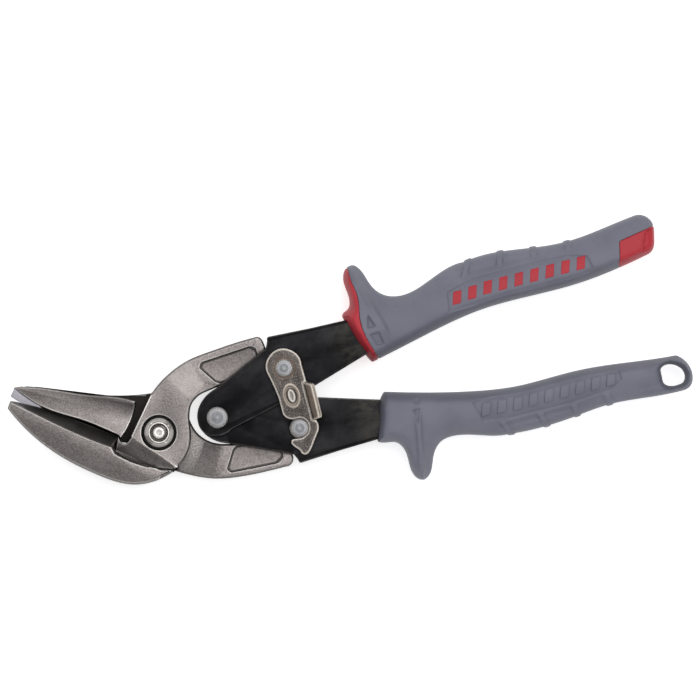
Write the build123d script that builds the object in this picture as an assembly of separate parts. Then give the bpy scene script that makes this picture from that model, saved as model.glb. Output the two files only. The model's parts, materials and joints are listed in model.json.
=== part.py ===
from build123d import *
from math import cos, radians, sin
import os

# Offset aviation snips with compound leverage, lying flat with the jaws closed and the latch on.
# The pieces are drawn about the blade pivot: +X runs along the tool to the grips, +Y to the
# upper handle and +Z out of the front face. The last lines move them all to the part's own
# origin, at the bottom centre of the whole tool. All sizes are in millimetres.

# Linkage: four rivet centres in the shape of a kite
toggle_x = 21.1  # toggle rivet, where the handles cross
arm_x = 48.0  # rivets that join each forging's arm to its handle
arm_y = 10.8

# Levels across the tool, measured from the shear plane between the two forgings
sheet = 2.0  # handle channel sheet
slide_gap = 0.1  # between plates that slide on each other
inner_plate = 2.5  # inner face of the plate that lies next to the arms
outer_plate = inner_plate + sheet + slide_gap
front_face = outer_plate + sheet
shear_gap = 0.04  # each forging's flat face stands this far off the shear plane
boss = 6.0  # thickness of each forging at the pivot
grip_half = 10.5  # half the thickness of the grips
grip_rounding = 1.5

# Round parts
shank = 2.5
running = 0.05  # radial clearance of a rivet in what turns on it
open_pivot = 0.25  # radial clearance where the closed linkage is left open
pivot_shank = 4.0
latch_sheet = 1.6
wave_washer = 0.4
keeper_neck = 1.6  # the lower arm rivet's neck, which the latch hooks round
head_height = 1.0

# Latch levels
latch_back = front_face + wave_washer + slide_gap
latch_front = latch_back + latch_sheet
head_seat = latch_front + running

# Blades
blade_angle = radians(32.6)  # the cutting edge rises this much from the tool's axis
jaw_gap = 0.35  # between the lower blade's edge and the step of the upper blade's flare


def face(start, *runs):
    """Closed face from runs of points: one point draws a straight edge, more draw a smooth curve."""
    edges = []
    here = start
    for run in runs:
        points = [here, *run]
        edges.append(Line(*points) if len(points) == 2 else Spline(*points))
        here = run[-1]
    if (Vector(*here) - Vector(*start)).length > 1e-6:
        edges.append(Line(here, start))
    return make_face(Wire(edges))


def slab(outline, low, high):
    """A flat outline made solid between two levels."""
    return extrude(Pos(0, 0, low) * outline, high - low)


def disc(x, y, radius, low, high):
    """A round solid between two levels."""
    return Pos(x, y, (low + high) / 2) * Cylinder(radius, high - low)


def ring(x, y, inner, outer, low, high):
    return disc(x, y, outer, low, high) - disc(x, y, inner, low - 1, high + 1)


def turned(x, y, *profile):
    """A solid of revolution about +Z from (radius, height) corners."""
    corners = [(radius, 0, height) for radius, height in profile]
    outline = make_face(Polyline(*corners, close=True))
    return Pos(x, y) * revolve(outline, Axis.Z, 360)


def turn_over(solid):
    """The same piece turned over about the tool's axis, as the second handle is."""
    return Rot(180, 0, 0) * solid


def circle_point(x, y, radius, degrees):
    return (x + radius * cos(radians(degrees)), y + radius * sin(radians(degrees)))


# ---------------------------------------------------------------- forgings


def along(x, y):
    """Distance from the pivot towards the tip, along the cutting edge."""
    return y * sin(blade_angle) - x * cos(blade_angle)


def across(x, y):
    """Distance from the pivot towards the belly, square to the cutting edge."""
    return -x * sin(blade_angle) - y * cos(blade_angle)


def lower_skin(x, y):
    """Level of the lower blade's outer face, which thins to the tip and to the belly."""
    return (x, y, 6.4 - 0.05 * along(x, y) - 0.07 * across(x, y))


def upper_skin(x, y):
    """Level of the upper blade's back face, which thins to the tip and to the top."""
    return (x, y, -5.4 + 0.05 * along(x, y) - 0.07 * across(x, y))


def on(surface, points):
    return [surface(*point) for point in points]


def envelope():
    """Side shape of boss, crank and arm: the arm is set back so that both arms lie mid-thickness."""
    arm_front = outer_plate - running
    arm_back = running - inner_plate
    crank_start = 15.6
    crank_end = 22.4
    corners = [
        (-30, shear_gap),
        (crank_start, shear_gap),
        (crank_end, arm_back),
        (80, arm_back),
        (80, arm_front),
        (crank_end, arm_front),
        (crank_start, boss),
        (-30, boss),
    ]
    side = make_face(Polyline(*[(s, 0, z) for s, z in corners], close=True))
    prism = extrude(side, 60, both=True)
    return Rot(0, 0, 30) * prism


def lower_blade():
    """Front forging: the lower jaw, the boss over the pivot and the upper arm."""
    body_outline = face(
        (1.0, 13.9),
        [(-9.6, 1.1)],
        [(2.9, -13.2)],
        [(6.7, -10.5), (9.2, -7.2), (10.4, -4.0), (11.25, 1.0), (12.9, 6.0), (15.0, 8.1)],
        [(17.5, 9.3), (20.0, 9.75), (25.0, 10.4), (33.0, 9.8)],
        [circle_point(arm_x, arm_y, 7, 250)],
        [(arm_x + 7, arm_y), circle_point(arm_x, arm_y, 7, 60), circle_point(arm_x, arm_y, 7, 117)],
        [(43.3, 19.3)],
        [(43.0, 21.9), (42.4, 23.2), (40.6, 23.8)],
        [(35.0, 23.7), (25.0, 23.0), (15.0, 21.6), (10.0, 19.75), (5.0, 17.0), (1.0, 13.9)],
    )
    body = slab(body_outline, -boss, boss) & envelope()
    pad = face(
        (19.6, 18.6),
        [(20.0, 19.5), (21.0, 19.9)],
        [(29.0, 20.5), (38.0, 21.0)],
        [(39.6, 20.4), (40.0, 18.8)],
        [(40.2, 12.0)],
        [(25.0, 11.5)],
        [(24.2, 11.7), (23.5, 12.5)],
        [(19.6, 18.0)],
    )
    body -= slab(pad, outer_plate - 0.55, boss)
    # The jaw is a ruled form from its flat shear face up to the sloping outer face
    shear = face(
        (-47.7, 23.9, shear_gap),
        [(-41.2, 20.75, shear_gap), (-30.0, 13.7, shear_gap), (-14.0, 2.3, shear_gap)],
        [(-15.8, -1.3, shear_gap)],
        [(-10.0, -8.2, shear_gap), (0.4, -12.6, shear_gap)],
        [(1.9, -14.3, shear_gap)],
        [
            (-5.0, -16.1, shear_gap),
            (-12.5, -15.7, shear_gap),
            (-25.0, -8.8, shear_gap),
            (-35.0, -0.1, shear_gap),
            (-45.0, 12.8, shear_gap),
            (-49.4, 21.6, shear_gap),
        ],
    )
    outer = face(
        lower_skin(-47.4, 23.3),
        on(lower_skin, [(-42.5, 19.1), (-31.7, 9.9), (-17.5, -0.7)]),
        on(lower_skin, [(-16.9, -3.2)]),
        on(lower_skin, [(-10.0, -8.8), (0.4, -13.4)]),
        on(lower_skin, [(1.5, -14.0)]),
        on(
            lower_skin,
            [(-5.0, -15.6), (-12.3, -15.2), (-24.7, -8.3), (-34.6, 0.2), (-44.6, 12.9), (-48.9, 21.5)],
        ),
    )
    jaw = Solid.make_loft([shear.wire(), outer.wire()], ruled=True)
    # The valley falls from the boss to the foot of the jaw's outer face
    valley_outline = face(
        (-14.2, 2.2),
        [(-13.9, 0.3)],
        [(-12.4, -0.8), (-10.8, 0.0)],
        [(-9.3, 1.1)],
        [(3.4, -13.2)],
        [(0.4, -14.0)],
        [(-10.0, -9.4), (-16.9, -3.2)],
        [(-15.9, -1.3)],
    )
    fall = Plane(origin=(-3.4, -6.1, boss), x_dir=(0.66, -0.75, 0), z_dir=(-0.34, -0.3, 0.89))
    valley = slab(valley_outline, shear_gap, boss)
    valley = split(valley, bisect_by=fall, keep=Keep.BOTTOM)
    forging = body + jaw + valley
    forging -= disc(0, 0, pivot_shank + running, -boss, 2 * boss)
    forging -= disc(0, 0, 6.1, boss / 2, 2 * boss)
    forging -= disc(arm_x, arm_y, shank + open_pivot, -boss, boss)
    return forging


def flare():
    """Front of the upper blade: a concave face that stands proud above the cutting line."""
    outline = face(
        (-45.0, 27.7),
        [(-42.5, 24.3), (-38.3, 19.9)],
        [(-30.0, 14.05), (-23.75, 10.3), (-18.75, 6.6), (-14.0, 2.8)],
        [(-13.5, 1.5)],
        [(-8.2, 7.0), (-5.2, 12.6)],
        [(-12.0, 15.9), (-20.0, 18.6), (-35.0, 25.0), (-44.4, 28.0)],
    )
    blank = slab(outline, -1.0, boss)
    rear = Vector(-9.8, 8.4, 3.0)
    tip = Vector(-45.5, 27.2, 0.7)
    hollow_radius = 15.0
    axis = tip - rear
    start = rear - axis * 0.5 + Vector(0, 0, hollow_radius)
    hollow = Solid.make_cylinder(hollow_radius, axis.length * 2, Plane(origin=start, z_dir=axis))
    block = Pos(-28, 15, boss) * Box(80, 60, 4)
    return (blank - hollow) - block


def upper_blade():
    """Back forging: the upper jaw with its flare, the boss behind the pivot and the lower arm."""
    body_outline = face(
        (1.0, 14.1),
        [(-9.6, 1.0)],
        [(1.0, -13.9)],
        [(5.0, -16.3), (10.0, -18.8), (15.0, -20.6), (25.0, -22.25), (35.0, -22.7), (40.0, -22.7)],
        [(42.2, -22.1), (42.9, -21.1), (43.1, -19.4)],
        [circle_point(arm_x, -arm_y, 7, -117)],
        [circle_point(arm_x, -arm_y, 7, -60), (arm_x + 7, -arm_y), circle_point(arm_x, -arm_y, 7, -250)],
        [(33.0, -9.6)],
        [(25.0, -10.25), (18.75, -9.0), (15.8, -7.3), (12.1, -2.3), (10.6, 6.4), (1.0, 14.1)],
    )
    body = slab(body_outline, -boss, boss) & turn_over(envelope())
    pad = face(
        (20.0, -18.6),
        [(20.4, -19.4), (21.4, -19.7)],
        [(29.0, -20.3), (36.0, -20.6)],
        [(38.8, -20.0), (39.8, -18.4)],
        [(40.2, -12.0)],
        [(25.0, -11.6)],
        [(24.2, -11.8), (23.5, -12.6)],
        [(20.0, -18.0)],
    )
    body -= slab(pad, inner_plate - 0.5, boss)
    back_pad = Pos(0, 0, -outer_plate - boss + 0.55) * extrude(pad, boss)
    body -= back_pad
    # The jaw behind the shear plane, with its own ground bevel at the back
    shear = face(
        (-46.4, 24.2, -shear_gap),
        [(-40.0, 18.3, -shear_gap), (-30.0, 11.9, -shear_gap), (-14.5, 0.2, -shear_gap)],
        [(-7.0, -3.0, -shear_gap)],
        [(1.0, 14.1, -shear_gap)],
        [
            (-5.0, 14.9, -shear_gap),
            (-15.0, 17.4, -shear_gap),
            (-30.0, 23.0, -shear_gap),
            (-40.0, 27.1, -shear_gap),
            (-45.2, 27.9, -shear_gap),
        ],
        [(-47.4, 25.3, -shear_gap)],
    )
    back = face(
        upper_skin(-45.7, 25.2),
        on(upper_skin, [(-38.6, 21.4), (-28.2, 15.2), (-13.4, 5.0)]),
        on(upper_skin, [(-7.0, -1.0)]),
        on(upper_skin, [(1.0, 13.7)]),
        on(upper_skin, [(-5.0, 14.4), (-15.0, 16.9), (-30.0, 22.4), (-39.8, 26.4), (-44.6, 27.2)]),
        on(upper_skin, [(-46.4, 25.6)]),
    )
    jaw = Solid.make_loft([shear.wire(), back.wire()], ruled=True)
    forging = body + jaw + flare()
    forging -= disc(0, 0, pivot_shank + 0.02, -2 * boss, boss)
    forging -= disc(arm_x, -arm_y, shank + running, -boss, boss)
    return forging


# ---------------------------------------------------------------- pivot set


def pivot_bolt():
    """Hex bolt from the back, with a plain shank, a shorter thread and a dimpled round end."""
    seat = -boss - 0.5
    head = Pos(0, 0, -grip_half) * extrude(RegularPolygon(6.0, 6), seat + grip_half)
    bevel = turned(0, 0, (0, -grip_half), (5.3, -grip_half), (6.3, -grip_half + 0.8), (6.3, seat), (0, seat))
    stem = turned(
        0, 0, (0, seat - 1), (pivot_shank, seat - 1), (pivot_shank, 3.4), (3.2, 3.9),
        (3.2, 5.6), (2.05, 5.9), (1.8, 6.3), (1.1, 6.3), (0.4, 6.0), (0, 5.8),
    )
    return (head & bevel) + stem


def pivot_lock_washer():
    """Toothed washer under the bolt head."""
    washer = ring(0, 0, pivot_shank + 0.1, 6.4, -boss - 0.5, -boss)
    teeth = 16
    tooth = Pos(6.6, 0, -boss - 0.25) * Box(1.0, 1.1, 0.5)
    for count in range(teeth):
        washer += Rot(0, 0, 360 / teeth * count) * tooth
    return washer


def pivot_thrust_washer():
    low = boss / 2 + slide_gap
    return ring(0, 0, pivot_shank + 0.02, 5.9, low, low + 0.4)


def pivot_nut():
    """Round nut with a coned face and four shallow key slots."""
    low = boss / 2 + slide_gap + 0.4
    nut = turned(
        0, 0, (3.22, low + 0.5), (4.02, low), (5.4, low), (5.4, 4.7), (5.1, 5.2),
        (3.9, 6.5), (3.6, 6.7), (3.22, 6.7),
    )
    for count in range(4):
        nut -= Rot(0, 0, 90 * count + 22) * (Pos(4.6, 0, 6.6) * Box(1.6, 0.9, 1.2))
    return nut


# ---------------------------------------------------------------- handles


def plate_outline():
    """Side plate of the upper handle's channel, with the tang that runs inside the grip."""
    return face(
        (14.1, 0.0),
        [(15.8, 5.2), (18.8, 8.05), (22.9, 9.9)],
        [(43.3, 18.9)],
        [(44.3, 20.7), (44.8, 22.7)],
        [(60.0, 22.0)],
        [(90.0, 22.0)],
        [(114.0, 26.5)],
        [(150.0, 26.0)],
        [(150.0, 16.8)],
        [(118.0, 16.2)],
        [(98.0, 12.6)],
        [(57.3, 2.25)],
        [(25.0, -5.2)],
        [(20.6, -6.5), (16.3, -5.0), (14.1, 0.0)],
    )


def upper_handle_channel():
    """One stamping: an outer plate in front, an inner plate behind and the fold along the top."""
    plates = slab(plate_outline(), outer_plate, front_face)
    plates += slab(plate_outline(), -inner_plate - sheet, -inner_plate)
    fold_outline = face(
        (45.4, 20.4),
        [(45.4, 22.66)],
        [(60.0, 22.0)],
        [(90.0, 22.0)],
        [(114.0, 26.5)],
        [(150.0, 26.0)],
        [(150.0, 24.0)],
        [(114.2, 24.5)],
        [(90.2, 20.0)],
        [(60.0, 20.0)],
    )
    channel = plates + slab(fold_outline, -inner_plate - sheet, front_face)
    bends = channel.edges().filter_by(
        lambda edge: edge.length > 10
        and edge.center().Y > 21.9
        and edge.center().X > 50
        and min(abs(edge.center().Z - front_face), abs(edge.center().Z + inner_plate + sheet)) < 0.01
    )
    channel = fillet(bends, 1.6)
    for x, y in ((toggle_x, 0), (arm_x, arm_y)):
        channel -= disc(x, y, shank + running, -boss * 2, boss * 2)
    return channel


def rivet(x, y, back, front, back_head, front_head, height=head_height):
    """Shank with a low domed head at each end; back and front are the heads' seats."""
    return turned(
        x, y,
        (0, back - height), (back_head - 0.5, back - height), (back_head, back - height + 0.4),
        (back_head, back), (shank, back), (shank, front), (front_head, front),
        (front_head, front + height - 0.4), (front_head - 0.5, front + height), (0, front + height),
    )


def toggle_rivet():
    return rivet(toggle_x, 0, -front_face, front_face + running, 3.7, 3.7)


def toggle_sleeve():
    """Bush round the toggle rivet, inside the spring's coil."""
    half = inner_plate - running
    return ring(toggle_x, 0, shank + 0.02, 3.5, -half, half)


def upper_arm_rivet():
    """Carries the upper arm, and the latch in front of the handle."""
    return rivet(arm_x, arm_y, -inner_plate - sheet, head_seat, 3.15, 3.15)


def lower_arm_rivet():
    """Carries the lower arm; its neck and wide head keep the latch's hook."""
    seat = latch_back - running
    back = -front_face
    head = 3.25
    return turned(
        arm_x, -arm_y,
        (0, back - 1), (head - 0.5, back - 1), (head, back - 0.6), (head, back), (shank, back),
        (shank, seat), (keeper_neck, seat), (keeper_neck, head_seat), (head, head_seat),
        (head, head_seat + 0.6), (head - 0.5, head_seat + 1), (0, head_seat + 1),
    )


def latch_keeper_collar():
    """Spacer ring that lifts the keeper's head to the latch's level."""
    low = inner_plate + sheet
    return ring(arm_x, -arm_y, shank + 0.02, 3.6, low, latch_back - running)


def handle_spring():
    """Torsion spring round the toggle sleeve, one leg along each arm."""
    wire = 0.6
    mean = 4.6
    pitch = 1.3
    turns = 2.5
    path = Pos(toggle_x, 0, -pitch * turns / 2) * (Rot(0, 0, 90) * Helix(pitch, pitch * turns, mean))
    spring = sweep(Plane(origin=path @ 0, z_dir=path % 0) * Circle(wire), path, is_frenet=True)
    for foot, side in ((path @ 0, 1), (path @ 1, -1)):
        leg = Vector(39.5, side * 5, foot.Z) - foot
        root = foot - leg.normalized() * 0.2  # the leg starts a little inside the coil's end
        spring += Solid.make_cylinder(wire - 0.03, leg.length + 0.2, Plane(origin=root, z_dir=leg))
    return spring


# ---------------------------------------------------------------- latch


def latch():
    """Stamped hook that swings on the upper arm rivet, with an embossed stiffener and a thumb tab."""
    outline = face(
        (41.8, 10.6),
        [(43.6, 15.8), (48.0, 17.7), (52.4, 15.8), (54.2, 10.6)],
        [(54.3, 5.2)],
        [(53.7, -8.6)],
        [(54.6, -10.7), (54.2, -13.2)],
        [(51.7, -16.5)],
        [(49.2, -19.6), (47.9, -20.25), (46.3, -19.2)],
        [(44.2, -16.0), (43.9, -15.0), (44.3, -14.2), (45.2, -14.0)],
        [(46.3, -14.15), (48.0, -14.25), (50.0, -13.2), (51.2, -10.8), (50.4, -8.4), (48.3, -7.4)],
        [(46.25, -7.25)],
        [(44.2, -5.9), (43.5, -4.6)],
        [(43.5, 1.0)],
        [(42.7, 6.4), (41.8, 10.6)],
    )
    plate = slab(outline, latch_back, latch_front)
    ridge = Pos(48.1, 0.8, latch_front - 0.2) * extrude(Ellipse(2.9, 4.25), 0.5)
    groove = Pos(48.1, 0.8, latch_front - 0.3) * extrude(Ellipse(2.1, 3.3), 2)
    bead = Pos(48.1, 0.8, latch_back + 0.4) * extrude(Ellipse(1.35, 2.6), latch_sheet + 0.2)
    pit = Pos(48.1, 0.8, latch_front - 0.4) * extrude(Ellipse(0.55, 1.6), 2)
    plate = plate + ridge - groove + bead - pit
    plate -= disc(arm_x, arm_y, shank + running, latch_back - 1, latch_front + 1)
    # Thumb tab, bent up from the plate's right-hand edge
    tab_length = 6.4
    tab_tilt = 62
    tab_side = face((0, -9.7), [(0, 4.4)], [(tab_length, 3.0)], [(tab_length, -9.0)])
    tab = extrude(tab_side, latch_sheet)
    tab = fillet(tab.edges().filter_by(Axis.Z).group_by(Axis.X)[-1], 1.2)
    foot = Pos(53.9, 0.2, latch_back) * (Rot(0, -tab_tilt, -1.6) * tab)
    plate = plate + foot
    return plate


def latch_wave_washer():
    """Thin spring washer between the latch and the handle."""
    low = front_face + running
    return ring(arm_x, arm_y, shank + running, 3.9, low, low + wave_washer)


# ---------------------------------------------------------------- grips


def grip_blank(outline):
    """Moulded grip: the outline given the grips' thickness, with its two rims rounded."""
    solid = slab(outline, -grip_half, grip_half)
    rims = solid.edges().filter_by(lambda edge: abs(abs(edge.center().Z) - grip_half) < 0.01)
    return fillet(rims, grip_rounding)


def upper_grip_outline():
    return face(
        (72.0, 23.2),
        [(72.6, 24.1), (74.6, 25.1), (76.0, 28.7), (75.75, 36.0), (77.4, 39.0), (80.6, 39.55)],
        [(82.6, 37.0), (84.6, 31.2), (88.2, 26.8), (93.5, 25.1), (105.0, 27.8), (118.0, 30.9)],
        [(128.0, 31.5), (145.0, 29.4), (156.0, 28.8), (168.0, 30.0), (180.0, 31.6)],
        [(183.6, 30.4), (185.4, 27.5), (184.9, 23.0), (183.2, 18.4), (180.6, 17.1)],
        [(172.0, 15.5), (155.0, 13.5), (140.0, 13.4), (120.0, 13.2), (100.0, 9.8), (78.2, 5.0)],
        [(76.2, 9.0), (73.6, 17.2)],
    )


def lower_grip_outline():
    return face(
        (73.0, -22.4),
        [(75.5, -23.4), (79.2, -24.2), (81.6, -28.0), (82.0, -35.5), (83.4, -38.4), (85.6, -39.4)],
        [(88.4, -37.4), (90.6, -32.5), (94.6, -27.9), (100.0, -27.2), (110.0, -29.8), (118.0, -31.4)],
        [(128.0, -32.0), (140.0, -31.5), (155.0, -30.2), (170.0, -31.4), (181.4, -32.0)],
        [(184.6, -30.4), (185.7, -26.6), (184.4, -22.1), (181.8, -19.4)],
        [(172.0, -18.5), (157.0, -16.6), (145.0, -15.8), (125.0, -15.8), (110.0, -13.7), (79.6, -6.0)],
        [(78.4, -7.2), (76.0, -13.4)],
    )


def upper_grip_pieces(channel):
    """Grey shell, red collar round the finger guard's front, red end cap and the badge bars."""
    blank = grip_blank(upper_grip_outline()) - channel
    behind_collar = slab(
        face(
            (78.2, 42.0),
            [(78.3, 33.7), (79.0, 28.7), (77.8, 20.0), (78.4, 13.7), (81.4, 4.0)],
            [(200.0, 4.0)],
            [(200.0, 42.0)],
        ),
        -20,
        20,
    )
    collar = blank - behind_collar
    rest = blank & behind_collar
    cap_outline = face((169.9, 14.0), [(171.9, 23.0)], [(172.3, 23.9), (173.2, 24.3)], [(188.0, 26.8)], [(188.0, 14.0)])
    cap_block = slab(cap_outline, -20, 20)
    cap = rest & cap_block
    shell = rest - cap_block
    bars = 9
    badge = Part()
    for count in range(bars):
        x = 112.5 + 5.6 * count
        y = 19.4 + 0.8 * min(count, 2) / 2
        bar = face((x - 2.2, y - 2.2), [(x + 0.8, y - 2.2)], [(x + 2.2, y + 2.2)], [(x - 0.8, y + 2.2)])
        for low in (grip_half - 0.8, -grip_half):
            badge += slab(bar, low, low + 0.8)
    shell -= badge
    return shell, collar, cap, badge


def lower_grip(channel):
    """Grey shell with the hang hole through its end."""
    blank = grip_blank(lower_grip_outline()) - channel
    hole = slab(
        face(
            (175.2, -22.8),
            [(176.4, -22.0), (180.0, -22.4), (181.8, -23.8)],
            [(182.9, -27.0), (182.2, -28.8), (180.5, -29.5)],
            [(176.6, -29.1), (175.4, -28.2), (175.0, -26.6)],
        ),
        -grip_half - 1,
        grip_half + 1,
    )
    return blank - hole


upper_channel = upper_handle_channel()
lower_channel = turn_over(upper_channel)
upper_shell, upper_collar, upper_cap, upper_badge = upper_grip_pieces(upper_channel)

pieces = {
    "lower_blade": lower_blade(),
    "upper_blade": upper_blade(),
    "pivot_bolt": pivot_bolt(),
    "pivot_nut": pivot_nut(),
    "pivot_thrust_washer": pivot_thrust_washer(),
    "pivot_lock_washer": pivot_lock_washer(),
    "upper_handle_channel": upper_channel,
    "lower_handle_channel": lower_channel,
    "toggle_rivet": toggle_rivet(),
    "toggle_sleeve": toggle_sleeve(),
    "handle_spring": handle_spring(),
    "upper_arm_rivet": upper_arm_rivet(),
    "lower_arm_rivet": lower_arm_rivet(),
    "latch_keeper_collar": latch_keeper_collar(),
    "latch": latch(),
    "latch_wave_washer": latch_wave_washer(),
    "upper_grip": upper_shell,
    "upper_grip_collar": upper_collar,
    "upper_grip_end_cap": upper_cap,
    "upper_grip_badge": upper_badge,
    "lower_grip": lower_grip(lower_channel),
}

whole = Compound(children=[Compound(piece.solids()) for piece in pieces.values()]).bounding_box()
origin = Vector((whole.min.X + whole.max.X) / 2, (whole.min.Y + whole.max.Y) / 2, whole.min.Z)

os.makedirs("parts", exist_ok=True)
for name, piece in pieces.items():
    placed = Compound([solid.moved(Location(-origin)) for solid in piece.solids()])
    export_step(placed, f"parts/{name}.step")
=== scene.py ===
import bpy
import bmesh
import json
from math import radians, sin, cos, sqrt
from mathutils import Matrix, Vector
from mathutils.bvhtree import BVHTree
from mathutils.kdtree import KDTree


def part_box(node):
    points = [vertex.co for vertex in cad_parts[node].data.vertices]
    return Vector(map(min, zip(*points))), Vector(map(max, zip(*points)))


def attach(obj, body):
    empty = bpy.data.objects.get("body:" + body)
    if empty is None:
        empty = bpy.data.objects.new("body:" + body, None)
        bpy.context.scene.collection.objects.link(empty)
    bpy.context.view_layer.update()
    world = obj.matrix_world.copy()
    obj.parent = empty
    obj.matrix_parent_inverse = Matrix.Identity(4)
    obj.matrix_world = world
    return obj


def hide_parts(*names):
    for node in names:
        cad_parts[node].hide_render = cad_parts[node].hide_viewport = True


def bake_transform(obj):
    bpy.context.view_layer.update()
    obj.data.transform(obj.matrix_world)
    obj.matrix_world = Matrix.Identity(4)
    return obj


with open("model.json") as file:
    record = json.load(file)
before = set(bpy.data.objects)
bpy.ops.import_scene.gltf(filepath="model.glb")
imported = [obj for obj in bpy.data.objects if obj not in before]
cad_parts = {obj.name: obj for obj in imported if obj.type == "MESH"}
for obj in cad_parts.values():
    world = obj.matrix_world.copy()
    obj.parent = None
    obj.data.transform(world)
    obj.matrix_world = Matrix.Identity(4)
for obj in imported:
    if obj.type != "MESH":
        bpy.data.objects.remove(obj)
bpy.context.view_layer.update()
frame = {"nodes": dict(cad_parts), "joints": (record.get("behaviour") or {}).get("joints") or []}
print("frame loaded:", len(frame["nodes"]), "nodes")

mm = 0.001
joints = {joint["name"]: joint for joint in frame["joints"]}
pivot = Vector(joints["jaw_opening"]["pos_m"])  # blade pivot; drawings below are in millimetres from it
gripLow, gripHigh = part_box("lower_grip")
midLevel = (gripLow.z + gripHigh.z) / 2  # the shear plane between the two forgings
gripHalf = (gripHigh.z - gripLow.z) / 2


def place(x, y, z=0.0):
    return Vector((pivot.x + x * mm, pivot.y + y * mm, midLevel + z * mm))


def drawing(point):
    return (point.x - pivot.x) / mm, (point.y - pivot.y) / mm


def ease(t):
    t = min(max(t, 0.0), 1.0)
    return t * t * (3 - 2 * t)


def curveAt(stops, x):  # eased value between (x, value) stops
    if x <= stops[0][0]:
        return stops[0][1]
    for (x0, v0), (x1, v1) in zip(stops, stops[1:]):
        if x <= x1:
            return v0 + (v1 - v0) * ease((x - x0) / (x1 - x0))
    return stops[-1][1]


def sidesOf(corners):  # each side of a closed outline as its two ends
    return list(zip(corners, corners[1:] + corners[:1]))


def toned(colour, share):
    return tuple(share * value for value in colour)


bladeAngle = radians(32.6)  # the cutting edge's rise from the tool's axis


class Wire:  # one shader output, with arithmetic
    def __init__(self, finish, socket):
        self.finish = finish
        self.socket = socket

    def calc(self, operation, *values):
        return self.finish.calc(operation, *values)

    def __add__(self, other):
        return self.calc("ADD", self, other)

    def __radd__(self, other):
        return self.calc("ADD", other, self)

    def __sub__(self, other):
        return self.calc("SUBTRACT", self, other)

    def __rsub__(self, other):
        return self.calc("SUBTRACT", other, self)

    def __mul__(self, other):
        return self.calc("MULTIPLY", self, other)

    def __rmul__(self, other):
        return self.calc("MULTIPLY", other, self)

    def __truediv__(self, other):
        return self.calc("DIVIDE", self, other)

    def __rtruediv__(self, other):
        return self.calc("DIVIDE", other, self)

    def ramp(self, low, high):  # 0 below low, 1 above high
        settings = {"interpolation_type": "SMOOTHSTEP"}
        inputs = {"Value": self, "From Min": low, "From Max": high}
        return self.finish.node("ShaderNodeMapRange", settings, inputs)


class Finish:  # one material under construction
    def __init__(self, name):
        self.material = bpy.data.materials.new(name)
        self.material.use_nodes = True
        self.tree = self.material.node_tree
        self.shader = self.tree.nodes["Principled BSDF"]
        self.here = self.node("ShaderNodeTexCoord", {}, {}, "Object")

    def node(self, kind, settings, inputs, output=0):
        made = self.tree.nodes.new(kind)
        for key, value in settings.items():
            setattr(made, key, value)
        for key, value in inputs.items():
            self.feed(made.inputs[key], value)
        return Wire(self, made.outputs[output])

    def feed(self, socket, value):
        if isinstance(value, Wire):
            self.tree.links.new(value.socket, socket)
        elif isinstance(value, tuple) and len(value) == 3 and socket.type == "RGBA":
            socket.default_value = (*value, 1)
        else:
            socket.default_value = value

    def calc(self, operation, *values):
        return self.node("ShaderNodeMath", {"operation": operation}, dict(enumerate(values)))

    def noise(self, size, detail=3, roughness=0.5, stretch=(1, 1, 1)):  # size of a blotch in millimetres
        scaled = self.node("ShaderNodeMapping", {}, {"Vector": self.here, "Scale": stretch})
        inputs = {"Vector": scaled, "Scale": 1 / (size * mm), "Detail": detail, "Roughness": roughness}
        return self.node("ShaderNodeTexNoise", {}, inputs)

    def mix(self, factor, one, two):
        return self.node("ShaderNodeMix", {"data_type": "RGBA"}, {0: factor, 6: one, 7: two}, 2)

    def spot(self, x, y):  # distance in millimetres from a point of the drawing, seen from the front
        axes = self.axes()
        centre = place(x, y)
        flat = self.node("ShaderNodeCombineXYZ", {}, {0: axes[0], 1: axes[1]})
        inputs = {0: flat, 1: (centre.x, centre.y, 0)}
        return self.node("ShaderNodeVectorMath", {"operation": "DISTANCE"}, inputs, "Value") * 1000

    def panel(self, corners):  # millimetres outside a panel with these corners, less than 0 inside it
        axes = self.axes()
        away = None
        for one, two in sidesOf(corners):
            start, end = place(*one), place(*two)
            across = Vector((end.y - start.y, start.x - end.x)).normalized()
            side = (axes[0] * across.x + axes[1] * across.y - across.dot(start.xy)) * 1000
            away = side if away is None else self.calc("MAXIMUM", away, side)
        return away

    def axes(self):
        return [self.node("ShaderNodeSeparateXYZ", {}, {0: self.here}, k) for k in range(3)]

    def slope(self, low, high):  # 0 on faces square to the tool's front, 1 on steep ones
        true = self.node("ShaderNodeNewGeometry", {}, {}, "Normal")
        up = self.node("ShaderNodeSeparateXYZ", {}, {0: true}, 2)
        return 1 - self.calc("ABSOLUTE", up).ramp(low, high)

    def crevice(self, reach, low=0.35, high=0.85):  # 1 in corners and narrow gaps
        inputs = {"Distance": reach * mm}
        exposed = self.node("ShaderNodeAmbientOcclusion", {"samples": 6}, inputs, "AO")
        return 1 - exposed.ramp(low, high)

    def bump(self, height, depth, strength):  # depth in millimetres
        inputs = {"Height": height, "Distance": depth * mm, "Strength": strength}
        return self.node("ShaderNodeBump", {}, inputs)

    def edge(self, radius, low, high):  # 1 on edges and corners, from the turn of the surface
        rounded = self.node("ShaderNodeBevel", {"samples": 6}, {"Radius": radius * mm})
        true = self.node("ShaderNodeNewGeometry", {}, {}, "Normal")
        same = self.node("ShaderNodeVectorMath", {"operation": "DOT_PRODUCT"}, {0: rounded, 1: true}, "Value")
        return (1 - same).ramp(low, high)

    def finishWith(self, **sockets):
        for key, value in sockets.items():
            self.feed(self.shader.inputs[key.replace("_", " ")], value)
        return self.material


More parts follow.
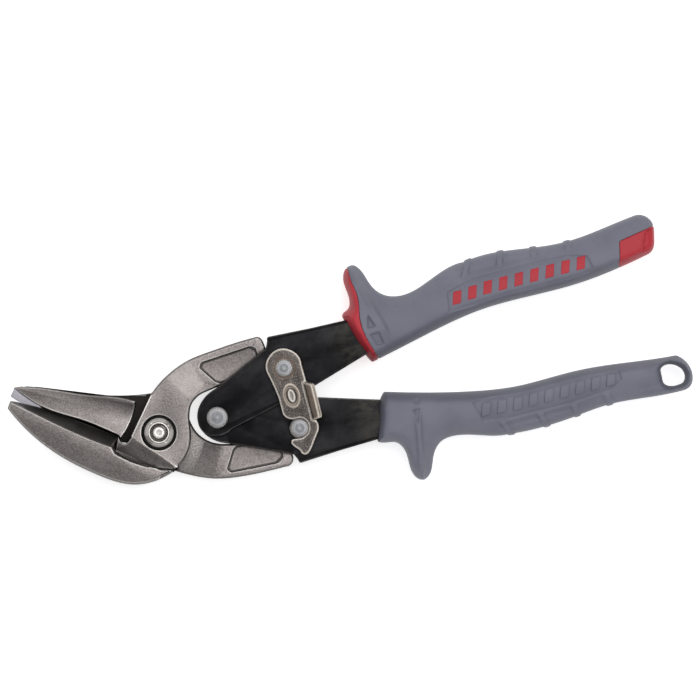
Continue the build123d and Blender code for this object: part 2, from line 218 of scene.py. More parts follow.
armPanels = [
    [(21.0, -19.7), (37.0, -20.6), (39.6, -19.0), (40.2, -12.0), (25.0, -11.6), (23.5, -12.4), (20.0, -18.3)],
    [(23.5, 12.4), (25.0, 11.5), (40.2, 12.0), (39.9, 19.6), (38.0, 21.0), (20.8, 19.8), (19.6, 18.2)],
]
armStep = [(7.6, 17.6), (13.4, 8.4), (19.6, 12.0), (15.8, 24.0), (5.0, 24.0)]  # below the hub


def forgedSteel(name, well=False, hollow=False):
    f = Finish(name)
    broad = f.noise(9, 4, 0.6)
    grain = f.noise(0.55, 3, 0.7)
    pits = f.noise(1.3, 4, 0.65)
    base = f.mix(broad.ramp(0.35, 0.7), (0.232, 0.207, 0.199), (0.298, 0.268, 0.259))
    base = f.mix(grain.ramp(0.42, 0.66) * 0.6, base, (0.430, 0.394, 0.384))
    base = f.mix((1 - grain.ramp(0.34, 0.48)) * 0.5, base, (0.150, 0.134, 0.124))
    base = f.mix(pits.ramp(0.60, 0.72) * 0.45, base, (0.130, 0.112, 0.096))
    # painted shade: faces tilted away from the front are darker
    base = f.mix(f.slope(0.80, 0.985) * 0.5, base, (0.085, 0.076, 0.071))
    # edge wear and painted highlight: bright lines along edges and ridges, weaker on steep sides
    wearAndHighlight = f.edge(0.9, 0.002, 0.018) * (1 - f.slope(0.6, 0.92))
    base = f.mix(wearAndHighlight * (0.55 + 0.45 * pits), base, (0.95, 0.91, 0.87))
    # painted shade: steep sides are near black
    base = f.mix(f.slope(0.35, 0.88) * 0.85, base, (0.050, 0.045, 0.043))
    # painted shade: near black in corners and narrow gaps
    base = f.mix(f.crevice(1.1, 0.60, 0.97) * 0.9, base, (0.022, 0.019, 0.017))
    for corners in armPanels:  # painted shade: a dark line round each sunk panel, and a darker floor inside it
        out = f.panel(corners)
        line = out.ramp(-0.75, -0.4) * (1 - out.ramp(0.15, 0.45))
        base = f.mix(line * 0.88, base, (0.030, 0.026, 0.024))
        base = f.mix((1 - out.ramp(-1.1, -0.8)) * 0.3, base, (0.100, 0.088, 0.080))
    if hollow:  # painted shade on the jaw's concave face, darker towards its top
        along, across, up = f.axes()
        root = place(-9.8, 8.4)
        rise = (along - root.x) * sin(bladeAngle) + (across - root.y) * cos(bladeAngle)
        shade = (rise * 1000).ramp(-2.5, 4.0) * (1 - along.ramp(place(-7, 0).x, place(-4, 0).x))
        base = f.mix(shade * 0.5, base, (0.075, 0.066, 0.062))
        # painted shade: a little darker towards the jaw's tip
        tipShade = 1 - along.ramp(place(-20, 0).x, place(-11, 0).x)
        base = f.mix(tipShade * 0.18, base, (0.075, 0.066, 0.062))
    if well:  # painted highlight on the step below the hub, and painted shade, near black, in the well round the nut
        base = f.mix((1 - f.panel(armStep).ramp(-0.35, 0.25)) * 0.32, base, (0.50, 0.46, 0.44))
        base = f.mix((1 - f.spot(0, 0).ramp(6.05, 6.2)) * 0.9, base, (0.012, 0.011, 0.010))
    relief = f.bump(grain * 0.6 + pits * 0.4, 0.2, 0.7)
    roughness = 0.33 + 0.16 * pits + 0.08 * grain - wearAndHighlight * 0.10
    return f.finishWith(Base_Color=base, Metallic=0.9 - wearAndHighlight * 0.45, Roughness=roughness, Normal=relief)


def groundSteel():
    f = Finish("ground shear face")
    lines = f.noise(0.22, 2, 0.5, (0.08, 1, 1))
    broad = f.noise(6, 3)
    grain = f.noise(0.55, 3, 0.7)
    along = f.axes()[0]
    base = f.mix(broad.ramp(0.3, 0.7), (0.74, 0.72, 0.80), (0.82, 0.80, 0.87))
    base = f.mix(lines.ramp(0.4, 0.7) * 0.35, base, (0.88, 0.86, 0.93))
    slotShadeAndGrime = along.ramp(place(-38.6, 0).x, place(-37.6, 0).x)  # polished at the tip only; behind it near black, painted shade and grime in the slot by the hub
    base = f.mix(slotShadeAndGrime, base, (0.022, 0.020, 0.018))
    forged = f.mix(grain.ramp(0.4, 0.66), (0.225, 0.207, 0.196), (0.40, 0.375, 0.36))
    base = f.mix(along.ramp(place(2.5, 0).x, place(4, 0).x), base, forged)
    relief = f.bump(lines, 0.02, 0.4)
    roughness = 0.24 + 0.12 * lines + slotShadeAndGrime * 0.22
    return f.finishWith(Base_Color=base, Metallic=0.75 + slotShadeAndGrime * 0.2, Roughness=roughness, Normal=relief)


def honedBevel():
    f = Finish("honed cutting bevel")
    lines = f.noise(0.35, 3, 0.6, (0.15, 1, 1))
    broad = f.noise(5, 3)
    # painted shade: the bevel strip is coloured much darker than the forging steel it is ground from
    base = f.mix(broad.ramp(0.3, 0.7), (0.085, 0.080, 0.076), (0.115, 0.108, 0.102))
    base = f.mix(lines.ramp(0.45, 0.7) * 0.3, base, (0.16, 0.15, 0.145))
    # edge wear and painted highlight along the bevel's edges
    wearAndHighlight = f.edge(0.8, 0.003, 0.025)
    base = f.mix(wearAndHighlight * 0.8, base, (0.66, 0.63, 0.61))
    # painted shade: near black in corners and narrow gaps
    base = f.mix(f.crevice(1.5) * 0.7, base, (0.018, 0.016, 0.014))
    relief = f.bump(lines, 0.02, 0.3)
    return f.finishWith(Base_Color=base, Metallic=0.85, Roughness=0.44 + 0.12 * lines, Normal=relief)


def blackSteel():
    f = Finish("black oxide sheet")
    cloud = f.noise(11, 5, 0.6)
    streak = f.noise(2.2, 4, 0.6, (0.5, 1, 1))
    grain = f.noise(0.3, 2)
    base = f.mix(cloud.ramp(0.35, 0.75), (0.0120, 0.0115, 0.0130), (0.034, 0.033, 0.035))
    base = f.mix(streak.ramp(0.5, 0.8) * 0.3, base, (0.040, 0.039, 0.041))
    # Rubbed, oil-stained patch on the front plates just ahead of the grips
    near = f.axes()[0].ramp(place(63, 0).x, place(74, 0).x)
    base = f.mix(near * streak.ramp(0.35, 0.65) * 0.5, base, (0.062, 0.058, 0.047))
    # painted shade: black in corners and narrow gaps
    base = f.mix(f.crevice(1.4) * 0.8, base, (0.003, 0.003, 0.003))
    # edge wear and painted highlight: lighter rims along the plates' edges
    wearAndHighlight = f.edge(0.8, 0.003, 0.03)
    base = f.mix(wearAndHighlight * (0.3 + streak.ramp(0.3, 0.6) * 0.6), base, (0.16, 0.15, 0.145))
    relief = f.bump(grain * 0.5 + streak * 0.5, 0.05, 0.35)
    return f.finishWith(Base_Color=base, Metallic=0.95, Roughness=0.36 + 0.22 * cloud, Normal=relief)


def zincPlate():
    f = Finish("zinc rivet head")
    swirl = f.noise(1.1, 5, 0.8)
    grain = f.noise(0.35, 2)
    base = f.mix(swirl.ramp(0.35, 0.7), (0.195, 0.196, 0.204), (0.33, 0.332, 0.345))
    for x, y, radius in ((21.1, 0, 3.7), (48, 10.8, 3.15), (48, -10.8, 3.25)):
        away = f.spot(x, y)
        dish = away.ramp(radius - 1.7, radius - 1.35) * (1 - away.ramp(radius - 1.2, radius - 0.9))
        base = f.mix(dish * 0.45, base, (0.60, 0.62, 0.66))  # faint ring left by the riveting tool
        centre = 1 - away.ramp(0.2, 0.9)
        base = f.mix(centre * 0.4, base, (0.58, 0.60, 0.64))
    # edge wear and painted highlight: a bright rim round each head
    wearAndHighlight = f.edge(0.8, 0.002, 0.02)
    base = f.mix(wearAndHighlight * 0.9, base, (0.95, 0.90, 0.85))
    # painted shade: darker where the head meets the plate
    base = f.mix(f.crevice(0.5) * 0.5, base, (0.05, 0.05, 0.05))
    relief = f.bump(swirl * 0.7 + grain * 0.3, 0.12, 0.5)
    return f.finishWith(Base_Color=base, Metallic=0.75, Roughness=0.42 + 0.15 * swirl, Normal=relief)


def brightNickel():
    f = Finish("bright nickel")
    turned = f.noise(0.5, 3)
    broad = f.noise(2.5, 3)
    base = f.mix(broad.ramp(0.35, 0.7), (0.94, 0.90, 0.85), (1.0, 0.97, 0.93))
    away = f.spot(0, 0)
    along, across, up = f.axes()
    trough = away.ramp(2.0, 2.15) * (1 - away.ramp(3.1, 3.25))
    ledge = away.ramp(3.62, 3.72) * (1 - away.ramp(3.85, 3.98))
    turn = f.calc("ARCTAN2", across - pivot.y, along - pivot.x)
    quarters = f.calc("SINE", turn * 2 + 0.55 + 0.5 * broad).ramp(0.45, 1.0)  # painted reflection: bright and dark quarters
    darkReflection = quarters * away.ramp(3.5, 3.7) * (1 - away.ramp(5.5, 5.7))
    # painted reflection: the dark quarters on the nut's cone
    base = f.mix(darkReflection * 0.6, base, (0.16, 0.138, 0.122))
    # painted shade: near black in the trough, and a thin dark line at the ledge
    base = f.mix(trough * 0.9 + ledge * 0.7, base, (0.030, 0.026, 0.023))
    # painted shade: near black beyond the nut's rim, in its recess
    base = f.mix(away.ramp(5.0, 5.2) * 0.95, base, (0.010, 0.009, 0.008))
    relief = f.bump(turned, 0.02, 0.3)
    metal = 0.3 + 0.65 * trough
    return f.finishWith(Base_Color=base, Metallic=metal, Roughness=0.2 + 0.14 * turned, Normal=relief)


embossSpot = place(48.1, 0.8)  # centre of the latch's embossed oval


def latchPlate():
    f = Finish("tumbled latch plating")
    grit = f.noise(0.55, 4, 0.85)
    broad = f.noise(3.5, 4, 0.6)
    base = f.mix(broad.ramp(0.3, 0.7), (0.085, 0.073, 0.066), (0.150, 0.131, 0.120))
    base = f.mix(grit.ramp(0.53, 0.63) * 0.75, base, (0.40, 0.365, 0.335))
    base = f.mix((1 - grit.ramp(0.36, 0.48)) * 0.8, base, (0.030, 0.026, 0.024))
    along, across, up = f.axes()
    side = along - embossSpot.x
    rise = across - embossSpot.y
    oval = f.calc("SQRT", side * side / (2.9 * mm) ** 2 + rise * rise / (4.25 * mm) ** 2)
    bead = f.calc("SQRT", side * side / (1.35 * mm) ** 2 + rise * rise / (2.6 * mm) ** 2)
    rim = oval.ramp(0.86, 0.93) * (1 - oval.ramp(1.0, 1.08))
    rim = rim + oval.ramp(0.64, 0.69) * (1 - oval.ramp(0.72, 0.78))
    band = oval.ramp(0.70, 0.78) * (1 - oval.ramp(0.86, 0.92))
    gully = (1 - oval.ramp(0.68, 0.76)) * bead.ramp(0.98, 1.1)
    # painted light and shade on the embossed oval: shade in its gully, a lighter brown band between its rims,
    # highlights on its rims and bead, and shade in the bead's centre pit
    base = f.mix(gully * 0.6, base, (0.09, 0.062, 0.042))
    base = f.mix(band * 0.8, base, (0.34, 0.28, 0.23))
    base = f.mix(rim * (0.45 + 0.5 * broad), base, (0.80, 0.72, 0.63))
    base = f.mix((1 - bead.ramp(0.75, 1.0)) * 0.8, base, (0.82, 0.78, 0.72))
    base = f.mix((1 - bead.ramp(0.3, 0.5)) * 0.55, base, (0.16, 0.13, 0.11))
    rivetShade = f.spot(48, 10.8)  # painted shade: a brown ring round the rivet's head
    base = f.mix((1 - rivetShade.ramp(3.3, 4.1)) * 0.55, base, (0.30, 0.19, 0.12))
    # the bent-up tab is coloured a lighter tan
    tab = up.ramp(place(0, 0, 9.0).z, place(0, 0, 9.6).z) * along.ramp(place(53.4, 0).x, place(54.0, 0).x)
    tabTone = f.mix(broad.ramp(0.3, 0.7), (0.42, 0.33, 0.26), (0.60, 0.49, 0.40))
    base = f.mix(tab * 0.75, base, tabTone)
    # painted shade: near black in corners and narrow gaps
    base = f.mix(f.crevice(0.7) * 0.75, base, (0.02, 0.017, 0.014))
    # edge wear and painted highlight: a bright cream rim along the latch's edges, kept off the emboss
    wearAndHighlight = f.edge(1.0, 0.002, 0.012) * (1 - f.slope(0.1, 0.4)) * oval.ramp(1.1, 1.35)
    base = f.mix(wearAndHighlight * 0.95, base, (1.0, 0.92, 0.83))
    relief = f.bump(grit, 0.12, 0.6)
    roughness = 0.42 + 0.2 * grit - wearAndHighlight * 0.15
    return f.finishWith(Base_Color=base, Metallic=0.88 - wearAndHighlight * 0.6, Roughness=roughness, Normal=relief)


def springSteel(name, shade):
    f = Finish(name)
    grain = f.noise(0.4, 3)
    broad = f.noise(2.5, 3)
    base = f.mix(broad.ramp(0.3, 0.7), toned((0.10, 0.095, 0.09), shade), toned((0.20, 0.19, 0.18), shade))
    # edge wear and painted highlight along the edges
    wearAndHighlight = f.edge(0.2, 0.004, 0.08)
    base = f.mix(wearAndHighlight * 0.4, base, toned((0.45, 0.43, 0.40), shade))
    relief = f.bump(grain, 0.03, 0.4)
    return f.finishWith(Base_Color=base, Metallic=0.9, Roughness=0.3 + 0.15 * grain, Normal=relief)


def moulded(name, dark, light, scuff):
    f = Finish(name)
    broad = f.noise(14, 4, 0.55)
    fine = f.noise(0.45, 2, 0.6)
    spark = f.noise(0.2, 1)
    base = f.mix(broad.ramp(0.3, 0.7), dark, light)
    base = f.mix(fine.ramp(0.55, 0.75) * 0.25, base, scuff)
    # painted shade: darker in corners and narrow gaps
    base = f.mix(f.crevice(2.2, 0.45, 0.95) * 0.45, base, toned(dark, 0.45))
    # painted shade: tilted and steep faces darker
    base = f.mix(f.slope(0.25, 0.90) * 0.42, base, toned(dark, 0.35))
    scratch = f.noise(1.0, 3, 0.6, (0.18, 1, 1))
    base = f.mix(scratch.ramp(0.66, 0.74) * 0.18, base, scuff)
    relief = f.bump(fine * 0.7 + spark * 0.3, 0.07, 0.5)
    roughness = 0.50 + 0.14 * broad + 0.06 * fine
    return f.finishWith(Base_Color=base, Metallic=0.0, Roughness=roughness, Normal=relief)


finishes = {
    "hub": forgedSteel("shot-blasted forging with painted light round the well", well=True),
    "flare": forgedSteel("shot-blasted forging with concave jaw", hollow=True),
    "ground": groundSteel(),
    "bevel": honedBevel(),
    "black": blackSteel(),
    "zinc": zincPlate(),
    "nickel": brightNickel(),
    "latch": latchPlate(),
    "spring": springSteel("oiled spring steel", 1.0),
    "washer": springSteel("washer black with old oil", 0.08),
    "grey": moulded("blue-grey grip", (0.200, 0.205, 0.262), (0.240, 0.245, 0.308), (0.32, 0.325, 0.39)),
    "red": moulded("red grip", (0.56, 0.030, 0.048), (0.66, 0.042, 0.062), (0.80, 0.160, 0.165)),
}
print("finishes made:", len(finishes))


weldGap = 2e-6  # closer corners of a CAD node's triangles are one corner


def welded(node):  # a merged copy of a CAD node
    bm = bmesh.new()
    bm.from_mesh(frame["nodes"][node].data)
    bmesh.ops.remove_doubles(bm, verts=bm.verts, dist=weldGap)
    return bm


def meshFrom(bm, name, finishNames=()):
    mesh = bpy.data.meshes.new(name)
    bm.to_mesh(mesh)
    bm.free()
    for finishName in finishNames:
        mesh.materials.append(finishes[finishName])
    return mesh


def newObject(name, mesh):
    made = bpy.data.objects.new(name, mesh)
    bpy.context.scene.collection.objects.link(made)
    return made


def settle(made):  # applies the modifiers, so that the mesh is final
    graph = bpy.context.evaluated_depsgraph_get()
    final = bpy.data.meshes.new_from_object(made.evaluated_get(graph))
    made.modifiers.clear()
    made.data = final
    return made


def eased(node, settings):  # a copy of a CAD node, welded, with its edges rounded
    bm = welded(node)
    bmesh.ops.dissolve_limit(bm, angle_limit=radians(0.6), verts=bm.verts, edges=bm.edges)
    limit = radians(settings.get("angle", 32))
    sharp = [e for e in bm.edges if len(e.link_faces) == 2 and e.calc_face_angle(0) > limit]
    plain = BVHTree.FromBMesh(bm)
    groups = {}
    for edge in sharp:
        middle = (edge.verts[0].co + edge.verts[1].co) / 2
        width = settings["ease"]
        if callable(width):
            width = width(*drawing(middle))
        groups.setdefault(width, []).append(edge)
    for width in sorted(groups):
        bmesh.ops.bevel(
            bm, geom=[e for e in groups[width] if e.is_valid], affect="EDGES",
            offset=width * mm, offset_type="OFFSET", segments=settings.get("segments", 2),
            profile=0.5, clamp_overlap=False, material=-1, miter_outer="ARC", spread=0.1 * mm,
        )
    reach = 0.8 * max(groups) * mm
    for vert in bm.verts:  # a corner that the rounding threw off the form goes back to it
        near, normal, index, gap = plain.find_nearest(vert.co)
        if gap > reach:
            vert.co = near
    tang = settings.get("tang")
    if tang:  # the part hidden inside the grip is drawn in from its skin
        for vert in bm.verts:
            x, y = drawing(vert.co)
            inside = ease((x - tang["from"]) / 6)
            vert.co.z += (midLevel - vert.co.z) * 0.35 * inside
            vert.co.y += (place(0, tang["y"]).y - vert.co.y) * 0.3 * inside
    made = newObject(node + "_eased", meshFrom(bm, node, settings["finish"]))
    made.data.shade_smooth()
    made.data.set_sharp_from_angle(angle=radians(settings.get("smooth", 28)))
    choose = settings.get("choose")
    for polygon in made.data.polygons:
        polygon.material_index = choose(polygon) if choose else 0
    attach(made, settings["body"])
    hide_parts(node)
    return made


def lowerBladeFinish(polygon):  # 1 on the honed bevel strip, 2 on the ground shear face
    x, y = drawing(polygon.center)
    upSlope = polygon.normal.x * sin(bladeAngle) + polygon.normal.y * cos(bladeAngle)
    if x < -13.5 and upSlope > 0.35 and polygon.normal.z > 0.3 and polygon.center.z < midLevel + 5 * mm:
        return 1
    if polygon.normal.z < -0.95 and polygon.center.z < midLevel + 0.2 * mm and x < 20:
        return 2
    return 0


def upperBladeFinish(polygon):
    x, y = drawing(polygon.center)
    downSlope = -polygon.normal.x * sin(bladeAngle) - polygon.normal.y * cos(bladeAngle)
    if x < -13.0 and downSlope > 0.35 and polygon.normal.z < -0.3:
        return 1
    if polygon.normal.z > 0.95 and abs(polygon.center.z - midLevel) < 0.2 * mm and x < 20:
        return 2
    return 0


def latchEase(x, y):
    inEmboss = abs(x - 48.1) < 3.6 and abs(y - 0.8) < 5.2
    return 0.08 if inEmboss else 0.3


def forgingEase(x, y):  # broad rounding outside the arms, tight at the well, the panels and the blades
    if x * x + y * y < 49 or x < -6:
        return 0.3
    if 18 < x < 41.5 and 11 < abs(y) < 21.2:
        return 0.25
    return 0.8


steelPieces = {
    "lower_blade": {
        "body": "lower_jaw", "slot": "forged_steel", "finish": ["hub", "bevel", "ground"],
        "ease": forgingEase, "segments": 3, "choose": lowerBladeFinish,
    },
    "upper_blade": {
        "body": "upper_jaw", "slot": "forged_steel", "finish": ["flare", "bevel", "ground"],
        "ease": forgingEase, "segments": 3, "choose": upperBladeFinish, "angle": 50, "smooth": 46,
    },
    "pivot_bolt": {"body": "upper_jaw", "slot": "bright_nickel", "finish": ["nickel"], "ease": 0.12},
    "pivot_nut": {"body": "upper_jaw", "slot": "bright_nickel", "finish": ["nickel"], "ease": 0.12},
    "pivot_thrust_washer": {"body": "upper_jaw", "slot": "spring_steel", "finish": ["washer"], "ease": 0.08},
    "pivot_lock_washer": {"body": "upper_jaw", "slot": "spring_steel", "finish": ["spring"], "ease": 0.08},
    "upper_handle_channel": {
        "body": "upper_handle", "slot": "black_steel", "finish": ["black"], "ease": 0.3,
        "tang": {"from": 84, "y": 19},
    },
    "lower_handle_channel": {
        "body": "lower_handle", "slot": "black_steel", "finish": ["black"], "ease": 0.3,
        "tang": {"from": 84, "y": -19},
    },
    "toggle_rivet": {"body": "lower_handle", "slot": "zinc", "finish": ["zinc"], "ease": 0.15},
    "toggle_sleeve": {"body": "lower_handle", "slot": "spring_steel", "finish": ["spring"], "ease": 0.1},
    "upper_arm_rivet": {"body": "upper_handle", "slot": "zinc", "finish": ["zinc"], "ease": 0.15},
    "lower_arm_rivet": {"body": "lower_handle", "slot": "zinc", "finish": ["zinc"], "ease": 0.15},
    "latch_keeper_collar": {
        "body": "lower_handle", "slot": "spring_steel", "finish": ["spring"], "ease": 0.1,
    },
    "latch": {
        "body": "latch_hook", "slot": "latch_plate", "finish": ["latch"], "ease": latchEase, "segments": 3,
    },
    "latch_wave_washer": {
        "body": "latch_spring_washer", "slot": "spring_steel", "finish": ["spring"], "ease": 0.06,
    },
}
for node, settings in steelPieces.items():
    eased(node, settings)
print("steel pieces eased:", len(steelPieces))


def handleSpring():  # its wire twists as the handles open
    made = newObject("handle_spring_wire", meshFrom(welded("handle_spring"), "handle_spring", ["spring"]))
    made.data.shade_smooth()
    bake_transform(made)
    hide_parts("handle_spring")


handleSpring()


def outlineOf(node, height):  # bmesh holding a CAD node's outline, cut level
    bm = welded(node)
    everything = bm.verts[:] + bm.edges[:] + bm.faces[:]
    bmesh.ops.bisect_plane(
        bm, geom=everything, dist=1e-7, plane_co=(0, 0, height), plane_no=(0, 0, 1),
        clear_inner=True, clear_outer=True,
    )
    return bm


def isInside(p, edges):  # whether a ray to the right of the point meets the outline an odd number of times
    crossings = 0
    for a, b in edges:
        if (a.y > p.y) != (b.y > p.y) and p.x < a.x + (p.y - a.y) / (b.y - a.y) * (b.x - a.x):
            crossings += 1
    return crossings % 2 == 1


def treeOf(points):
    tree = KDTree(max(1, len(points)))
    for index, p in enumerate(points):
        tree.insert((p.x, p.y, 0), index)
    tree.balance()
    return tree


def outlinePoints(nodes, height, step):  # dense points on the shared outline, with inward normals
    loops = {}
    for node in nodes:
        bm = outlineOf(node, height)
        loops[node] = [(edge.verts[0].co.xy.copy(), edge.verts[1].co.xy.copy()) for edge in bm.edges]
        bm.free()

    samples = {}
    for node, edges in loops.items():
        samples[node] = []
        for a, b in edges:
            count = max(1, int((b - a).length / step))
            samples[node] += [a.lerp(b, (k + 0.5) / count) for k in range(count)]
    kept = []
    shared = []
    for node in nodes:
        others = [p for other in nodes if other != node for p in samples[other]]
        tree = treeOf(others)
        for a, b in loops[node]:
            count = max(1, int((b - a).length / step))
            along = (b - a).normalized()
            normal = Vector((-along.y, along.x))
            probe = a.lerp(b, 0.5) + normal * 0.15 * mm
            if not any(isInside(probe, loop) for loop in loops.values()):
                normal = -normal
            for k in range(count):
                p = a.lerp(b, (k + 0.5) / count)
                if others and tree.find((p.x, p.y, 0))[2] < 0.12 * mm:
                    shared.append(p)
                else:
                    kept.append((p, normal))
    return kept, shared


def vertsIn(made):
    return [item for item in made["geom"] if isinstance(item, bmesh.types.BMVert)]


def prismOf(node, height, half):  # the node's outline given the grips' thickness
    bm = outlineOf(node, height)
    bmesh.ops.triangle_fill(bm, use_beauty=True, edges=bm.edges[:])
    for vert in bm.verts:
        vert.co.z = midLevel - half
    raised = vertsIn(bmesh.ops.extrude_face_region(bm, geom=bm.faces[:]))
    bmesh.ops.translate(bm, vec=(0, 0, 2 * half), verts=raised)
    bmesh.ops.recalc_face_normals(bm, faces=bm.faces[:])
    return bm


class GripForm:  # turns a plain prism into the rounded grip, and gives the height of its surface
    def __init__(self, nodes, settings):
        self.settings = settings
        self.level = midLevel + 0.75 * gripHalf
        points, shared = outlinePoints(nodes, self.level, 0.1 * mm)
        self.points = points
        self.tree = treeOf([p for p, normal in points])
        self.seam = treeOf(shared + [Vector((9, 9))])  # one far point, for a grip with no seam
        self.spans = {}
        for p, normal in points:
            x, y = drawing(p)
            key = round(x)
            low, high = self.spans.get(key, (999, -999))
            self.spans[key] = (min(low, abs(y)), max(high, abs(y)))

    def inset(self, x, y):  # distance in from the outline, and the way in
        found, index, distance = self.tree.find((x, y, 0))
        near, normal = self.points[index]
        away = Vector((x, y)) - near
        if away.length > 0.7 * mm:
            return away.length, away.normalized()
        return max(away.dot(normal), 0.0), normal

    def thickness(self, x, y):  # the surface's half thickness in millimetres, before its rim is rounded
        settings = self.settings
        across = abs(y)
        full = curveAt(settings["half"], x)
        low, high = self.spans.get(round(min(max(x, 81), 178)), (across, across + 1))
        high = min(high, settings["bodyTop"])
        share = min((across - low) / max(high - low, 1), 1.0)
        crest = settings["crest"]
        if share > crest:
            drop = settings["outerFall"] * ((share - crest) / (1 - crest)) ** 2
            drop = drop * (1 - 0.75 * ease((x - 160) / 12))
        else:
            drop = settings["innerFall"] * ((crest - share) / crest) ** 2
        (x0, y0), (x1, y1) = settings["crease"]
        creaseX = x0 + (across - y0) / (y1 - y0) * (x1 - x0)
        behind = x - creaseX
        guard = ease((across - settings["guardFrom"]) / 8)
        flange = settings["flange"] * guard * (1 - ease((behind + 0.3) / 1.7))
        tall, wide = settings["bead"]
        bead = tall * guard * ease(1.6 * (1 - abs(behind + wide / 2) / wide))
        hornDrop = settings["hornDrop"] * ease((across - settings["bodyTop"]) / 12)
        frontEdge = curveAt(settings["frontEdge"], across)
        front = 0.55 * max(0.0, frontEdge - x)
        height = full - drop * (1 - 0.6 * guard * (1 - ease(behind / 3))) + flange + bead - hornDrop - front
        return min(height, gripHalf / mm)

    def relief(self, x, y):
        total = 0.0
        for shape in self.settings["relief"]:
            depth = convexDepth(shape["points"], x, y)
            total += shape["raise"] * ease(depth / shape.get("soft", 0.5) + 0.5)
        return total

    def shape(self, co):  # where a point of the prism goes
        x, y = drawing(co)
        rise = abs(co.z - midLevel) / gripHalf
        away, inward = self.inset(co.x, co.y)
        narrow = max(ease((abs(y) - self.settings["bodyTop"] + 3) / 4), ease((x - 168) / 6))
        radius = (self.settings["round"] * (1 - narrow) + self.settings["roundNarrow"] * narrow) * mm
        rim = max(0.0, 1 - away / radius)
        rise = min(rise, 1.0)
        disc = rim * sqrt(1 - rise * rise / 2)
        tall = rise * sqrt(1 - rim * rim / 2)
        shift = (radius * (1 - disc) - radius * (1 - rim)) if away < radius else 0.0
        half = self.thickness(x, y) * mm
        roundTall = min(self.settings["roundTall"] * mm, half * 0.8)
        level = (half - roundTall) * rise + roundTall * tall
        flat = Vector((co.x, co.y)) + inward * shift
        sign = 1 if co.z >= midLevel else -1
        return Vector((flat.x, flat.y, midLevel + sign * level))

    def surface(self, x, y, side=1):  # point on the front (1) or back (-1) face
        p = place(x, y)
        spot = self.shape(Vector((p.x, p.y, midLevel + side * gripHalf)))
        spot.z += side * self.relief(x, y) * mm
        return spot


def convexDepth(points, x, y):  # distance inside a convex outline, less than 0 outside
    depth = 1e9
    for (x0, y0), (x1, y1) in sidesOf(points):
        ex, ey = x1 - x0, y1 - y0
        depth = min(depth, ((x - x0) * -ey + (y - y0) * ex) / sqrt(ex * ex + ey * ey))
    return depth


def anticlockwise(points):
    area = sum(x0 * y1 - x1 * y0 for (x0, y0), (x1, y1) in sidesOf(points))
    return points if area > 0 else points[::-1]


hangHole = place(178.9, -25.7)


def gripPiece(node, settings):
    form = settings["form"]
    name = settings["name"]
    made = newObject(name, meshFrom(prismOf(node, form.level, gripHalf), name))
    remesh = made.modifiers.new("remesh", "REMESH")
    remesh.mode = "VOXEL"
    remesh.voxel_size = form.settings["cell"] * mm * 1
    settle(made)
    bm = bmesh.new()
    bm.from_mesh(made.data)
    for vert in bm.verts:
        vert.co = form.shape(vert.co)
    loose = [v for v in bm.verts if form.seam.find((v.co.x, v.co.y, 0))[2] > 0.9 * mm]
    for turn in range(3):
        if turn == 1:  # keeps the hang hole's corners
            loose = [v for v in loose if (v.co.xy - hangHole.xy).length > 6.5 * mm]
        bmesh.ops.smooth_vert(bm, verts=loose, factor=0.5, use_axis_x=True, use_axis_y=True, use_axis_z=True)
    bm.normal_update()
    for vert in bm.verts:  # raised ribs wrap over the outer edge
        x, y = drawing(vert.co)
        facing = ease((abs(vert.normal.z) - 0.45) / 0.3)
        out = vert.normal * ribHeight(form.settings["ribs"], x, abs(y)) * (0.5 + 0.5 * abs(vert.normal.z))
        sign = 1 if vert.normal.z > 0 else -1
        vert.co += (out + Vector((0, 0, sign * form.relief(x, y) * facing))) * mm
    bmesh.ops.recalc_face_normals(bm, faces=bm.faces[:])
    bm.to_mesh(made.data)
    bm.free()
    made.data.materials.clear()
    made.data.materials.append(finishes[settings["finish"]])
    made.data.shade_smooth()
    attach(made, settings["body"])
    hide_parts(node)


def ribHeight(ribs, x, across):
    best = 0.0
    for rib in ribs:
        centre = rib["x"] + rib["lean"] * (across - rib["top"])
        width = max(0.0, 1 - max(0.0, abs(x - centre) - 0.95) / 0.3)
        reach = ease((across - rib["from"]) / 0.6)
        best = max(best, 0.85 * width * reach)
    return best


upperGrip = {
    "cell": 0.38,
    "round": 3.8,
    "roundNarrow": 2.7,
    "roundTall": 6.0,
    "half": [
        (72, 9.2), (80, 9.4), (92, 9.0), (108, 9.7), (126, 10.4),
        (146, 10.2), (162, 9.4), (176, 9.4), (186, 8.2),
    ],
    "bodyTop": 27.0,
    "crest": 0.36,
    "outerFall": 3.0,
    "innerFall": 1.8,
    "bead": (0.4, 0.9),
    "crease": ((80.6, 33.0), (85.4, 16.0)),
    "guardFrom": 10.0,
    "flange": 1.5,
    "hornDrop": 1.6,
    "frontEdge": [(4, 79.0), (8, 78.4), (14, 76.6), (20, 75.6), (26, 77.0), (34, 77.4), (40, 78)],
    "ribs": [
        {"x": 119.5, "lean": 0.52, "top": 31.0, "from": 25.4},
        {"x": 131.3, "lean": 0.36, "top": 31.3, "from": 26.1},
        {"x": 142.7, "lean": 0.20, "top": 29.8, "from": 26.1},
        {"x": 154.6, "lean": 0.12, "top": 28.8, "from": 25.4},
    ],
    "relief": [
        {"points": anticlockwise([(80.8, 21.2), (79.7, 16.8), (82.5, 16.8)]), "raise": -1.0},
        {"points": anticlockwise([(80.0, 14.6), (83.1, 14.6), (83.9, 10.2), (81.4, 10.2)]), "raise": -1.0},
        {
            "points": anticlockwise([
                (108.6, 15.2), (109.6, 22.0), (119.5, 24.5), (142, 24.6), (154, 23.9), (160, 22.0),
                (161, 17.6), (158.5, 15.4), (135, 15.2),
            ]),
            "raise": -0.7,
        },
        {
            "points": anticlockwise([
                (176.6, 13.0), (181.3, 24.0), (181.9, 25.4), (190.0, 26.8), (190.0, 13.0),
            ]),
            "raise": -1.3, "soft": 1.0,
        },
    ],
}
